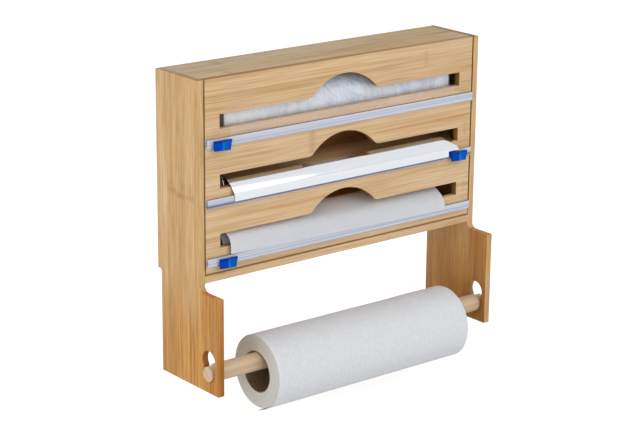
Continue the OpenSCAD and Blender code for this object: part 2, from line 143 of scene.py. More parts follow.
def setCamera(view):
    clearSelection()
    bpy.ops.object.camera_add(location=view["place"])
    cam = bpy.context.object
    cam.name = "photoCamera"
    cam.data.sensor_width = view["sensor"]
    cam.data.lens = view["lens"]
    cam.data.clip_end = view["clipEnd"]
    yaw, pitch, roll = view["yaw"], view["pitch"], view["roll"]
    ahead = Vector((math.sin(yaw) * math.cos(pitch), math.cos(yaw) * math.cos(pitch), -math.sin(pitch)))
    right = Vector((math.cos(yaw), -math.sin(yaw), 0))
    up = right.cross(ahead)
    side = right * math.cos(roll) + up * math.sin(roll)
    top = up * math.cos(roll) - right * math.sin(roll)
    turn = Matrix((side, top, -ahead)).transposed()
    cam.rotation_euler = turn.to_euler()
    bpy.context.scene.camera = cam


setCamera(cameraView)
print("camera set")


# node helpers for the finishes

def fillSockets(tree, node, sockets):  # a link where another node gives the value, else the value itself
    for key, value in sockets.items():
        if isinstance(value, bpy.types.NodeSocket):
            tree.links.new(value, node.inputs[key])
        else:
            node.inputs[key].default_value = value


def addNode(tree, kind, sockets=None, **settings):
    node = tree.nodes.new("ShaderNode" + kind)
    for key, value in settings.items():
        setattr(node, key, value)
    fillSockets(tree, node, sockets or {})
    return node


def emptyTree(owner):
    owner.use_nodes = True
    owner.node_tree.nodes.clear()
    return owner.node_tree


def startFinish(name):
    finish = bpy.data.materials.new(name)
    tree = emptyTree(finish)
    shader = addNode(tree, "BsdfPrincipled")
    addNode(tree, "OutputMaterial", {0: shader.outputs[0]})
    return finish, tree, shader


def mathNode(tree, operation, a, b=0.0, c=0.0, clamp=False):
    return addNode(tree, "Math", {0: a, 1: b, 2: c}, operation=operation, use_clamp=clamp).outputs[0]


def times(tree, a, b):
    return mathNode(tree, "MULTIPLY", a, b)


def plus(tree, a, b, clamp=False):
    return mathNode(tree, "ADD", a, b, clamp=clamp)


def minus(tree, a, b):
    return mathNode(tree, "SUBTRACT", a, b)


def timesPlus(tree, a, b, c):
    return mathNode(tree, "MULTIPLY_ADD", a, b, c)


def larger(tree, a, b):
    return mathNode(tree, "MAXIMUM", a, b)


def unsigned(tree, a):
    return mathNode(tree, "ABSOLUTE", a)


def spread(tree, value, low, high, toLow=0.0, toHigh=1.0):
    sockets = {0: value, 1: low, 2: high, 3: toLow, 4: toHigh}
    return addNode(tree, "MapRange", sockets, interpolation_type="SMOOTHSTEP").outputs[0]


def blendColour(tree, factor, a, b, kind="MIX"):
    return addNode(tree, "Mix", {0: factor, 6: a, 7: b}, data_type="RGBA", blend_type=kind).outputs[2]


def tinted(tree, amount, colour, tint):  # the colour times the tint, as far as the amount goes
    return blendColour(tree, amount, colour, blendColour(tree, 1.0, colour, tint, "MULTIPLY"))


def objectAxes(tree):
    coords = addNode(tree, "TexCoord")
    place = addNode(tree, "SeparateXYZ", {0: coords.outputs["Object"]})
    facing = addNode(tree, "SeparateXYZ", {0: coords.outputs["Normal"]})
    return place.outputs, facing.outputs


def vectorOf(tree, x, y, z=0.0):
    return addNode(tree, "CombineXYZ", {0: x, 1: y, 2: z}).outputs[0]


def noiseField(tree, vector, scale, detail, rough=0.5, distortion=0.0):
    return addNode(tree, "TexNoise", {"Vector": vector, "Scale": scale, "Detail": detail, "Roughness": rough,
                                      "Distortion": distortion}).outputs[0]


def objectNoise(tree, scale, detail, rough=0.5, distortion=0.0):
    coords = addNode(tree, "TexCoord")
    return noiseField(tree, coords.outputs["Object"], scale, detail, rough, distortion)


def streaks(tree, axes, scales, detail=2.0, rough=0.5):  # scales per metre along the streaks and across
    along, across, depth = axes
    vector = vectorOf(tree, times(tree, along, scales[0]), times(tree, across, scales[1]),
                      times(tree, depth, scales[1]))
    return noiseField(tree, vector, 1.0, detail, rough)


def setSurface(tree, shader, look, colour, grain, height, more=None):  # the grain drives the roughness
    sockets = {"Base Color": colour, "Roughness": spread(tree, grain, *look["rough"]), **(more or {})}
    if "gloss" in look:
        sockets["Specular IOR Level"] = look["gloss"]
    distance, strength = look["bump"]
    bump = addNode(tree, "Bump", {"Height": height, "Distance": distance, "Strength": strength})
    fillSockets(tree, shader, {**sockets, "Normal": bump.outputs[0]})


# bamboo: glued strips, long fibres and the joints of the cane
# a mark is the place of a joint along the strip, its reach across, half its width and its strength

bambooLook = {
    "front": {
        "along": 0, "across": 2, "wave": 0.0012, "short": 1.0, "gloss": 0.2, "strip": 0.021, "seed": 3.7,
        "pale": (0.80, 0.587, 0.37, 1), "deep": (0.50, 0.297, 0.125, 1), "joint": (0.44, 0.23, 0.09, 1),
        "edge": (0.50, 0.36, 0.21, 1), "sawnEndShade": (0.40, 0.27, 0.15, 1),
        "marks": (
            (-0.0433, -0.074, -0.049, 0.008, 0.4), (0.1117, -0.003, 0.016, 0.006, 0.25),
            (0.1717, -0.087, -0.071, 0.005, 0.25), (0.1717, -0.151, -0.137, 0.005, 0.2))},
    "top": {
        "along": 0, "across": 1, "wave": 0.002, "short": 1.2, "gloss": 0.12, "strip": 0.02, "seed": 8.2,
        "pale": (0.735, 0.56, 0.36, 1), "deep": (0.37, 0.235, 0.11, 1), "joint": (0.38, 0.22, 0.10, 1),
        "far": (0.94, 0.865, 0.735, 1),
        "marks": (
            (-0.125, -0.024, -0.010, 0.011, 0.6), (-0.1407, -0.066, -0.051, 0.008, 0.4),
            (-0.003, -0.046, -0.031, 0.007, 0.25), (0.083, -0.034, -0.006, 0.005, 0.25),
            (0.07, -0.066, -0.049, 0.005, 0.3))},
    # the boards inside the box: a deeper, more orange copy of the bamboo, painted shade for the box's inside
    "inner": {
        "along": 0, "across": 2, "wave": 0.0012, "short": 1.0, "gloss": 0.2, "strip": 0.024, "seed": 1.6,
        "pale": (0.82, 0.49, 0.235, 1), "deep": (0.60, 0.33, 0.13, 1), "joint": (0.26, 0.13, 0.045, 1),
        "edge": (0.72, 0.88, 1.15, 1),
        "marks": (
            (-0.09, -0.12, -0.092, 0.006, 0.3), (0.055, -0.045, -0.02, 0.006, 0.3),
            (0.14, -0.17, -0.142, 0.006, 0.25))},
    "left": {
        "along": 2, "across": 1, "wave": 0.003, "short": 2.2, "gloss": 0.2, "strip": 0.0158, "seed": 5.158,
        "pale": (0.785, 0.552, 0.302, 1), "deep": (0.495, 0.275, 0.095, 1), "joint": (0.42, 0.20, 0.065, 1),
        "edge": (0.62, 0.53, 0.47, 1), "leg": (1.0, 0.98, 0.92, 1), "bore": (0.80, 0.78, 0.74, 1),
        "face": 0.15, "legFace": 1.0, "lines": (0.0, 1.0),
        "marks": (
            (-0.0988, -0.0343, -0.0183, 0.006, 0.5), (-0.1015, -0.0500, -0.0343, 0.006, 0.55),
            (-0.1003, -0.0657, -0.0500, 0.005, 0.4), (-0.0915, -0.0280, -0.0220, 0.010, 0.35),
            (-0.0915, -0.0500, -0.0415, 0.009, 0.4), (-0.0920, -0.0620, -0.0545, 0.009, 0.3))},
    # the right panel shows its inner face under the box: painted shade darkens its legs, bore and top edge
    "right": {
        "along": 2, "across": 1, "wave": 0.003, "short": 2.2, "gloss": 0.2, "strip": 0.0158, "seed": 2.41,
        "pale": (0.75, 0.52, 0.275, 1), "deep": (0.47, 0.26, 0.09, 1), "joint": (0.42, 0.20, 0.065, 1),
        "edge": (0.42, 0.34, 0.25, 1), "leg": (0.81, 0.74, 0.61, 1), "bore": (0.58, 0.47, 0.34, 1),
        "face": 0.2, "legFace": 0.0, "lines": (0.22, 0.70),
        "marks": ((-0.062, -0.0233, -0.0075, 0.006, 0.5), (-0.066, -0.0391, -0.0233, 0.006, 0.5))},
}

# grain that all boards share, with scales per metre along the cane and across it
grainLook = {
    "shift": 3.0, "sway": (14.0, 40.0), "fine": (12.0, 760.0), "fineDetail": (3.0, 0.7), "broad": (5.0, 120.0),
    "amber": (4.0, 240.0), "patch": (9.0, 22.0), "fineSpan": (0.34, 0.70), "fineShare": 0.56,
    "broadSpan": (0.35, 0.7), "broadShare": 0.28, "stripShare": 0.18, "amberSpan": (0.58, 0.74, 0.0, 0.8),
    "amberTint": (0.97, 0.82, 0.60, 1), "patchSpan": (0.42, 0.66, 0.0, 0.6), "patchTint": (1.0, 0.94, 0.82, 1),
    "rightward": (-0.15, 0.15), "sideways": (0.15, 0.6), "slotEnds": (0.170, 0.176, 1.0, 0.25),
    "upward": (0.5, 0.8), "topZ": (0.018, 0.021), "rough": (0.2, 0.8, 0.4, 0.56),
    "markDepth": -0.4, "bump": (0.00012, 0.6)}

# the joint's edge is ragged where the fibres say so
jointLook = {"middle": 0.45, "ragged": 2.4, "outside": 0.001, "inside": 0.002}

# side panels: legs and arms below, painted shade in the rod holes and in the strip beside the door's ends
sideLook = {
    "legZ": (-0.13, -0.24), "waver": 0.06, "ahead": (-0.4, -0.8), "armY": (-0.069, -0.079),
    "armZ": (-0.180, -0.198), "lines": (2.2, 300.0), "lineSpan": (0.34, 0.68),
    "pale": (1.08, 0.875, 0.57, 1), "deep": (0.715, 0.485, 0.22, 1), "arm": (0.87, 0.80, 0.66, 1),
    "armTint": 0.8, "armWarmth": 0.9, "edgeWarmth": 0.15, "front": (0.78, 0.66, 0.50, 1),
    "boreY": (-0.1035, -0.1015), "boreZ": (-0.24, -0.25), "innerX": (0.1812, 0.1805),
    "doorY": (-0.0655, -0.0662), "doorZ": (-0.175, -0.173), "doorSeamShade": (0.36, 0.25, 0.15, 1)}


def jointMarks(tree, along, across, fibres, marks):
    most = None
    for place, low, high, half, strength in marks:
        ragged = times(tree, minus(tree, fibres, jointLook["middle"]), half * jointLook["ragged"])
        away = plus(tree, unsigned(tree, minus(tree, along, place)), ragged)
        outside, inside = jointLook["outside"], jointLook["inside"]
        within = times(tree, spread(tree, across, low - outside, low + inside),
                       spread(tree, across, high + outside, high - inside))
        mark = times(tree, spread(tree, away, half, 0.0, 0.0, strength), within)
        most = mark if most is None else larger(tree, most, mark)
    return most


def sideTints(tree, colour, look, axes, place, facing, broad):
    s = sideLook
    low = spread(tree, timesPlus(tree, broad, s["waver"], place[2]), *s["legZ"])
    ahead = spread(tree, facing[1], *s["ahead"])
    arm = times(tree, spread(tree, place[1], *s["armY"]), spread(tree, place[2], *s["armZ"]))
    lines = streaks(tree, axes, s["lines"])
    tint = blendColour(tree, spread(tree, lines, *s["lineSpan"], *look["lines"]), s["pale"], s["deep"])
    tint = blendColour(tree, 1.0, tint, look["leg"], "MULTIPLY")
    tint = tinted(tree, times(tree, arm, s["armTint"]), tint, s["arm"])
    warmth = larger(tree, low, times(tree, arm, s["armWarmth"]))
    edge = s["edgeWarmth"] + (1 - s["edgeWarmth"]) * look["legFace"]
    colour = tinted(tree, times(tree, warmth, spread(tree, ahead, 0.0, 1.0, 1.0, edge)), colour, tint)
    front = times(tree, ahead, spread(tree, low, 0.0, 1.0, look["face"], look["legFace"]))
    colour = tinted(tree, front, colour, s["front"])
    # painted shade on the walls of the holes for the rod
    behind = times(tree, ahead, spread(tree, place[1], *s["boreY"]))
    colour = tinted(tree, times(tree, behind, spread(tree, place[2], *s["boreZ"])), colour, look["bore"])
    # painted shadow on the inner faces beside the door's ends, which show dark in the seams
    inside = times(tree, spread(tree, unsigned(tree, place[0]), *s["innerX"]), spread(tree, place[1], *s["doorY"]))
    return tinted(tree, times(tree, inside, spread(tree, place[2], *s["doorZ"])), colour, s["doorSeamShade"])


def bambooFinish(name, look):
    look = {**grainLook, **look}
    finish, tree, shader = startFinish(name)
    place, facing = objectAxes(tree)
    along, across = place[look["along"]], place[look["across"]]
    depth = place[3 - look["along"] - look["across"]]
    strip = plus(tree, mathNode(tree, "DIVIDE", across, look["strip"]), look["seed"])
    chance = addNode(tree, "TexWhiteNoise", {"W": mathNode(tree, "FLOOR", strip)}, noise_dimensions="1D").outputs[0]
    shifted = timesPlus(tree, chance, look["shift"], along)
    sway = minus(tree, streaks(tree, (shifted, across, depth), look["sway"]), 0.5)
    swayed = timesPlus(tree, sway, look["wave"], across)

    def strands(scales, detail=2.0, rough=0.5):
        return streaks(tree, (shifted, swayed, depth), (scales[0] * look["short"], scales[1]), detail, rough)

    fine = strands(look["fine"], *look["fineDetail"])
    broad, amber = strands(look["broad"]), strands(look["amber"])
    shade = plus(tree, times(tree, spread(tree, fine, *look["fineSpan"]), look["fineShare"]),
                 times(tree, spread(tree, broad, *look["broadSpan"]), look["broadShare"]))
    shade = plus(tree, shade, times(tree, chance, look["stripShare"]), clamp=True)
    colour = blendColour(tree, shade, look["pale"], look["deep"])
    colour = tinted(tree, spread(tree, amber, *look["amberSpan"]), colour, look["amberTint"])
    patch = streaks(tree, (along, across, depth), look["patch"])
    colour = tinted(tree, spread(tree, patch, *look["patchSpan"]), colour, look["patchTint"])
    mark = jointMarks(tree, along, across, fine, look["marks"])
    colour = blendColour(tree, mark, colour, look["joint"])
    if "far" in look:  # yellower towards the right
        colour = tinted(tree, spread(tree, place[0], *look["rightward"]), colour, look["far"])
    if "leg" in look:
        colour = sideTints(tree, colour, look, (shifted, across, depth), place, facing, broad)
    if "sawnEndShade" in look:  # darker ends of the slots, a little of it at the board's own ends: end grain with painted shade
        sawnEndShade = times(tree, spread(tree, unsigned(tree, facing[0]), *look["sideways"]),
                     spread(tree, unsigned(tree, place[0]), *look["slotEnds"]))
        colour = tinted(tree, sawnEndShade, colour, look["sawnEndShade"])
    if "edge" in look:  # painted shade on the edges that face up at the top of the box; on the inside boards the tint takes back some orange
        edge = times(tree, spread(tree, facing[2], *look["upward"]), spread(tree, place[2], *look["topZ"]))
        colour = tinted(tree, edge, colour, look["edge"])
    height = plus(tree, fine, times(tree, mark, look["markDepth"]))
    setSurface(tree, shader, look, colour, fine, height)
    return finish


frontBamboo, topBamboo, shadedInnerBamboo, leftBamboo, rightBamboo = (
    bambooFinish(name + "Bamboo", bambooLook[name]) for name in ("front", "top", "inner", "left", "right"))

turnedLook = {
    "rod": {"pale": (0.76, 0.58, 0.405, 1), "deep": (0.56, 0.39, 0.24, 1)},
    "dowel": {"pale": (0.72, 0.56, 0.37, 1), "deep": (0.58, 0.42, 0.25, 1)},
    "fine": (9.0, 520.0), "fineDetail": (3.0, 0.6), "fineSpan": (0.3, 0.75), "fineShare": 0.55,
    "broad": (2.5, 110.0), "broadSpan": (0.35, 0.7), "broadShare": 0.45, "rough": (0.2, 0.8, 0.45, 0.62),
    "gloss": 0.3, "bump": (0.0001, 0.6)}


def turnedWood(name, colours):
    look = turnedLook
    finish, tree, shader = startFinish(name)
    place = objectAxes(tree)[0]
    fine = streaks(tree, place, look["fine"], *look["fineDetail"])
    broad = streaks(tree, place, look["broad"])
    shade = plus(tree, times(tree, spread(tree, fine, *look["fineSpan"]), look["fineShare"]),
                 times(tree, spread(tree, broad, *look["broadSpan"]), look["broadShare"]), clamp=True)
    setSurface(tree, shader, look, blendColour(tree, shade, colours["pale"], colours["deep"]), fine, fine)
    return finish


rodWood = turnedWood("rodWood", turnedLook["rod"])
dowelWood = turnedWood("dowelWood", turnedLook["dowel"])


# plastics and metals of the cutters and the catches
# the bands of a track are heights above its foot, with the tracks one pitch apart

trackLook = {
    "body": (0.62, 0.67, 0.83, 1), "lip": (0.82, 0.85, 0.94, 1), "line": (0.40, 0.44, 0.60, 1),
    "groove": (0.15, 0.14, 0.22, 1), "top": (0.22, 0.18, 0.16, 1), "pitch": 0.062, "below": 0.0005,
    "haze": (4.0, 900.0), "hazeSpan": (0.35, 0.65), "upperLip": (0.0082, 0.0092), "lowerLip": (0.0026, 0.0021),
    "grooveLow": (0.0011, 0.0014), "grooveHigh": (0.0042, 0.0038), "grooveDepth": 0.85,
    "lineAt": 0.0046, "lineHalf": (0.0007, 0.0002), "lineDepth": 0.45,
    "upward": (0.6, 0.9, 0.0, 0.85), "rough": (0.3, 0.7, 0.12, 0.26), "clear": 0.25,
    "bend": 1.46, "bump": (0.00008, 0.5)}


def trackPlastic(name, grooved):
    look = trackLook
    finish, tree, shader = startFinish(name)
    place, facing = objectAxes(tree)
    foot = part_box("bottom_track")[0].z - look["below"]
    turns = mathNode(tree, "DIVIDE", minus(tree, place[2], foot), look["pitch"])
    rise = times(tree, mathNode(tree, "FRACT", turns), look["pitch"])
    haze = streaks(tree, place, look["haze"])
    body = blendColour(tree, spread(tree, haze, *look["hazeSpan"]), look["body"], look["lip"])
    lip = larger(tree, spread(tree, rise, *look["upperLip"]), spread(tree, rise, *look["lowerLip"]))
    body = blendColour(tree, lip, body, look["lip"])
    # painted shadow of the foil's cut edge, over the groove of the middle track
    if grooved:
        groove = times(tree, spread(tree, rise, *look["grooveLow"]), spread(tree, rise, *look["grooveHigh"]))
        body = blendColour(tree, times(tree, groove, look["grooveDepth"]), body, look["groove"])
    # painted shadow on the faces that look up, where the wrap above meets the track
    body = blendColour(tree, spread(tree, facing[2], *look["upward"]), body, look["top"])
    away = unsigned(tree, minus(tree, rise, look["lineAt"]))
    line = times(tree, spread(tree, away, *look["lineHalf"]), look["lineDepth"])
    body = blendColour(tree, line, body, look["line"])
    clear = {"Transmission Weight": look["clear"], "IOR": look["bend"]}
    setSurface(tree, shader, look, body, haze, haze, clear)
    return finish


# painted light and shade across the grip: a dark left face, a painted highlight on the ridge, a lighter dish that
# darkens to the right, and painted shade on its top
gripTrim = {"top": 0.0005, "foot": ((0.0, 0.0034), (0.42, 0.0016), (1.0, 0.0005))}
sliderLook = {
    "left": (0.0, 0.058, 0.46, 1), "ridge": (0.002, 0.19, 0.76, 1), "dish": (0.0, 0.115, 0.55, 1),
    "right": (0.003, 0.09, 0.46, 1), "gripTopShade": (0.0, 0.022, 0.20, 1), "ridgeSpan": (0.34, 0.42),
    "dishSpan": (0.44, 0.54), "rightSpan": (0.62, 0.98), "cloud": (300.0, 3.0), "uneven": 0.04,
    "upward": (0.4, 0.8, 0.0, 0.8), "rim": (0.0018, 0.0008), "rimShade": 0.6,
    "rough": (0.3, 0.7, 0.3, 0.42), "gloss": 0.04, "bump": (0.00004, 0.3)}


def sliderPlastic(name, node):
    look = sliderLook
    finish, tree, shader = startFinish(name)
    low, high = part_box(node)
    place, facing = objectAxes(tree)
    cloud = objectNoise(tree, *look["cloud"])
    across = mathNode(tree, "DIVIDE", minus(tree, place[0], low.x), high.x - low.x)
    across = plus(tree, across, times(tree, minus(tree, cloud, 0.5), look["uneven"]))
    colour = blendColour(tree, spread(tree, across, *look["ridgeSpan"]), look["left"], look["ridge"])
    colour = blendColour(tree, spread(tree, across, *look["dishSpan"]), colour, look["dish"])
    colour = blendColour(tree, spread(tree, across, *look["rightSpan"]), colour, look["right"])
    head = high.z - gripTrim["top"]
    rim = spread(tree, place[2], head - look["rim"][0], head - look["rim"][1], 0.0, look["rimShade"])
    # painted shade on the grip's top faces and its upper rim
    above = larger(tree, spread(tree, facing[2], *look["upward"]), rim)
    setSurface(tree, shader, look, blendColour(tree, above, colour, look["gripTopShade"]), cloud, cloud)
    return finish


metalLook = {"steel": (0.50, 0.51, 0.52, 1), "magnet": (0.52, 0.52, 0.54, 1), "blade": (0.62, 0.63, 0.65, 1),
             "brush": (60.0, 2600.0), "dull": 0.8, "rough": (0.3, 0.7, 0.22, 0.4), "bump": (0.00003, 0.4)}


def brushedMetal(name, colour):
    finish, tree, shader = startFinish(name)
    brushed = streaks(tree, objectAxes(tree)[0], metalLook["brush"])
    dull = tuple(c * metalLook["dull"] for c in colour[:3]) + (1,)
    colour = blendColour(tree, brushed, colour, dull)
    setSurface(tree, shader, metalLook, colour, brushed, brushed, {"Metallic": 1.0})
    return finish


trackClear, trackFoilShadowed = trackPlastic("trackClear", False), trackPlastic("trackFoilShadowed", True)
topBlue, middleBlue, bottomBlue = (sliderPlastic(n + "Blue", n + "_slider") for n in ("top", "middle", "bottom"))
pinSteel = brushedMetal("pinSteel", metalLook["steel"])
catchMetal = brushedMetal("catchMetal", metalLook["magnet"])
bladeSteel = brushedMetal("bladeSteel", metalLook["blade"])


# wraps, towel and card
# a noise is its scale, detail, roughness and distortion, a bump its distance and strength

endSpan = (0.6, 0.9)  # how far a face looks sideways


def radialDistance(tree, place, centre):
    across, up = minus(tree, place[1], centre[0]), minus(tree, place[2], centre[1])
    squares = plus(tree, mathNode(tree, "POWER", across, 2.0), mathNode(tree, "POWER", up, 2.0))
    return mathNode(tree, "SQRT", squares)


def angleAround(tree, place, centre):
    return mathNode(tree, "ARCTAN2", minus(tree, place[1], centre[0]), minus(tree, place[2], centre[1]))


def woundLayers(tree, reach, layers):
    return mathNode(tree, "SINE", times(tree, reach, layers))


def endFaces(tree, facing):
    return spread(tree, unsigned(tree, facing[0]), *endSpan)


def layeredEnds(tree, place, atEnd, axis, look):  # the layers that show at the ends of a roll
    layers = woundLayers(tree, radialDistance(tree, place, axis), look["layers"])
    return times(tree, times(tree, layers, atEnd), look["layerHeight"])


def rollAxis(node):
    low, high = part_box(node)
    return ((low.y + high.y) / 2, (low.z + high.z) / 2)


filmLook = {
    "milky": (0.57, 0.69, 0.88, 1), "bright": (0.84, 0.93, 1.0, 1), "leftHighlight": (0.91, 0.97, 1.0, 1),
    "leftward": (-0.02, -0.14, 0.0, 0.75), "skew": 0.5, "squash": 0.8, "crumple": (75.0, 4.0, 0.6, 1.6),
    "pleatScales": (150.0, 24.0), "pleats": (1.0, 2.0, 0.5, 1.2), "layers": 9000.0, "crumpleShare": 0.7,
    "pleatShare": 0.3, "foldSpan": (0.38, 0.62), "layerHeight": 0.25, "rough": (0.3, 0.7, 0.24, 0.42),
    "bump": (0.0008, 0.55)}
tailLook = {"colour": (0.92, 0.84, 0.83, 1), "stretch": (2.4, 0.7), "crumple": (26.0, 2.0, 0.5, 0.8),
            "alpha": (0.3, 0.75, 0.2, 0.3), "rough": (0.3, 0.7, 0.2, 0.3)}


def filmWound(name, axis):
    look = filmLook
    finish, tree, shader = startFinish(name)
    place, facing = objectAxes(tree)
    skewed = vectorOf(tree, timesPlus(tree, place[2], look["skew"], place[0]), place[1],
                      times(tree, place[2], look["squash"]))
    crumple = noiseField(tree, skewed, *look["crumple"])
    along, around = look["pleatScales"]
    pleated = vectorOf(tree, times(tree, place[0], along), times(tree, place[1], around),
                       times(tree, place[2], around))
    pleats = noiseField(tree, pleated, *look["pleats"])
    fold = plus(tree, times(tree, crumple, look["crumpleShare"]), times(tree, pleats, look["pleatShare"]))
    colour = blendColour(tree, spread(tree, fold, *look["foldSpan"]), look["milky"], look["bright"])
    # painted highlight: the film turns brighter towards the roll's left end
    colour = blendColour(tree, spread(tree, place[0], *look["leftward"]), colour, look["leftHighlight"])
    ends = layeredEnds(tree, place, endFaces(tree, facing), axis, look)
    setSurface(tree, shader, look, colour, crumple, plus(tree, fold, ends))
    return finish


def filmClear(name):
    look = tailLook
    finish, tree, shader = startFinish(name)
    place = objectAxes(tree)[0]
    along, up = look["stretch"]
    stretched = vectorOf(tree, times(tree, place[0], along), place[1], times(tree, place[2], up))
    crumple = noiseField(tree, stretched, *look["crumple"])
    fillSockets(tree, shader, {"Base Color": look["colour"], "Alpha": spread(tree, crumple, *look["alpha"]),
                               "Roughness": spread(tree, crumple, *look["rough"])})
    return finish


foilLook = {"bright": (0.76, 0.785, 0.825, 1), "grey": (0.71, 0.735, 0.78, 1), "end": (0.10, 0.10, 0.11, 1),
            "rolled": (12.0, 420.0), "dents": (30.0, 2.0, 0.5, 0.3), "layers": 12000.0, "dentHeight": 0.5,
            "layerHeight": 0.5, "rough": (0.3, 0.7, 0.06, 0.1), "bump": (0.00008, 0.12)}


def foilMetal(name, axis):
    look = foilLook
    finish, tree, shader = startFinish(name)
    place, facing = objectAxes(tree)
    rolled = streaks(tree, place, look["rolled"])
    dents = objectNoise(tree, *look["dents"])
    atEnd = endFaces(tree, facing)
    colour = blendColour(tree, rolled, look["bright"], look["grey"])
    # painted shade: the roll's end faces are near black, for the dark inside of the slot
    colour = blendColour(tree, atEnd, colour, look["end"])
    ends = layeredEnds(tree, place, atEnd, axis, look)
    height = plus(tree, times(tree, dents, look["dentHeight"]), ends)
    setSurface(tree, shader, look, colour, dents, height, {"Metallic": 1.0})
    return finish


paperLook = {"pale": (0.86, 0.86, 0.925, 1), "fibre": (0.80, 0.80, 0.85, 1), "end": (0.12, 0.10, 0.08, 1),
             "fibres": (420.0, 4.0, 0.65), "clouds": (30.0, 2.0), "fibreShare": 0.85, "cloudShare": 0.15,
             "shadeSpan": (0.3, 0.72), "layers": 8500.0, "layerHeight": 0.5, "rough": (0.3, 0.7, 0.55, 0.68),
             "gloss": 0.25, "bump": (0.0001, 0.5), "through": 0.8, "throughColour": (1.0, 0.94, 0.84),
             "throughDepth": 0.0006}


def parchmentFinish(name, axis, thin):
    look = paperLook
    finish, tree, shader = startFinish(name)
    place, facing = objectAxes(tree)
    fibre = objectNoise(tree, *look["fibres"])
    cloud = objectNoise(tree, *look["clouds"])
    atEnd = endFaces(tree, facing)
    shade = plus(tree, times(tree, fibre, look["fibreShare"]), times(tree, cloud, look["cloudShare"]))
    colour = blendColour(tree, spread(tree, shade, *look["shadeSpan"]), look["pale"], look["fibre"])
    # painted shade: the roll's end faces are near black, for the dark inside of the slot
    colour = blendColour(tree, atEnd, colour, look["end"])
    through = {"Subsurface Weight": look["through"], "Subsurface Radius": look["throughColour"],
               "Subsurface Scale": look["throughDepth"]}  # a single layer lets some light through
    height = plus(tree, fibre, layeredEnds(tree, place, atEnd, axis, look))
    setSurface(tree, shader, look, colour, cloud, height, through if thin else None)
    return finish


# the towel is pressed in short strokes that run round the roll at a slant
towelLook = {
    "pale": (0.77, 0.79, 0.825, 1), "dip": (0.62, 0.64, 0.675, 1), "end": (0.84, 0.84, 0.80, 1),
    "ring": (0.69, 0.69, 0.645, 1), "strokes": (520.0, 1.0, 0.5, 0.6), "slant": 0.45, "stretch": 0.3,
    "strokeSpan": (0.42, 0.6), "overCore": 0.017, "fluff": (420.0, 4.0, 0.7), "creases": (70.0, 3.0, 0.5, 0.8),
    "layers": 5200.0, "waver": 0.0006, "strokeShare": 0.4, "fluffShare": 0.6,
    "shadeSpan": (0.2, 0.9), "shade": 0.35, "rings": (-1.0, 1.0, 0.0, 0.5), "rough": (0.2, 0.8, 0.8, 0.95),
    "gloss": 0.12, "sheen": 0.12, "strokeDepth": -0.35, "fluffHeight": 0.4, "creaseHeight": 0.22,
    "layerHeight": 0.5, "bump": (0.0005, 0.85)}


def towelPaper(name, axis):
    look = towelLook
    finish, tree, shader = startFinish(name)
    place, facing = objectAxes(tree)
    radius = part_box("towel_core")[1].z - axis[1] + look["overCore"]
    around = times(tree, angleAround(tree, place, axis), radius)
    sheet = vectorOf(tree, timesPlus(tree, around, look["slant"], place[0]), times(tree, around, look["stretch"]))
    strokes = noiseField(tree, sheet, *look["strokes"])
    quilt = spread(tree, strokes, *look["strokeSpan"])
    fluff = objectNoise(tree, *look["fluff"])
    crease = objectNoise(tree, *look["creases"])
    reach = timesPlus(tree, fluff, look["waver"], radialDistance(tree, place, axis))
    wound = woundLayers(tree, reach, look["layers"])
    atEnd = endFaces(tree, facing)
    rise = plus(tree, times(tree, quilt, look["strokeShare"]), times(tree, fluff, look["fluffShare"]))
    shade = times(tree, spread(tree, rise, *look["shadeSpan"]), look["shade"])
    skin = blendColour(tree, shade, look["pale"], look["dip"])
    rings = blendColour(tree, spread(tree, wound, *look["rings"]), look["end"], look["ring"])
    height = plus(tree, times(tree, quilt, look["strokeDepth"]), times(tree, fluff, look["fluffHeight"]))
    height = plus(tree, height, times(tree, crease, look["creaseHeight"]))
    height = plus(tree, height, times(tree, times(tree, wound, atEnd), look["layerHeight"]))
    colour = blendColour(tree, atEnd, skin, rings)
    setSurface(tree, shader, look, colour, fluff, height, {"Sheen Weight": look["sheen"]})
    return finish


cardLook = {"pale": (0.29, 0.21, 0.135, 1), "deep": (0.19, 0.13, 0.08, 1), "seam": (0.14, 0.10, 0.06, 1),
            "seamPitch": 0.085, "seamHalf": (0.012, 0.004), "seamShade": 0.6, "fibres": (380.0, 4.0, 0.7),
            "fibreSpan": (0.3, 0.7), "rough": (0.2, 0.8, 0.75, 0.9), "gloss": 0.15, "bump": (0.00015, 0.5)}


def cardTube(name, axis):
    look = cardLook
    finish, tree, shader = startFinish(name)
    place = objectAxes(tree)[0]
    fibre = objectNoise(tree, *look["fibres"])
    turns = mathNode(tree, "DIVIDE", angleAround(tree, place, axis), 2 * math.pi)
    spiral = plus(tree, mathNode(tree, "DIVIDE", place[0], look["seamPitch"]), turns)
    away = unsigned(tree, minus(tree, mathNode(tree, "FRACT", spiral), 0.5))
    seam = spread(tree, away, *look["seamHalf"])
    colour = blendColour(tree, spread(tree, fibre, *look["fibreSpan"]), look["pale"], look["deep"])
    colour = blendColour(tree, times(tree, seam, look["seamShade"]), colour, look["seam"])
    setSurface(tree, shader, look, colour, fibre, minus(tree, fibre, seam))
    return finish


filmAxis, foilAxis, paperAxis, towelAxis = (rollAxis(n + "_core") for n in ("film", "foil", "paper", "towel"))
filmMilky = filmWound("filmMilky", filmAxis)
filmSheer = filmClear("filmSheer")
foilBright = foilMetal("foilBright", foilAxis)
parchment = parchmentFinish("parchment", paperAxis, False)
parchmentSheet = parchmentFinish("parchmentSheet", paperAxis, True)
towelSoft = towelPaper("towelSoft", towelAxis)
print("finishes ready")


# boards, door and sliders: the CAD form with its edges eased

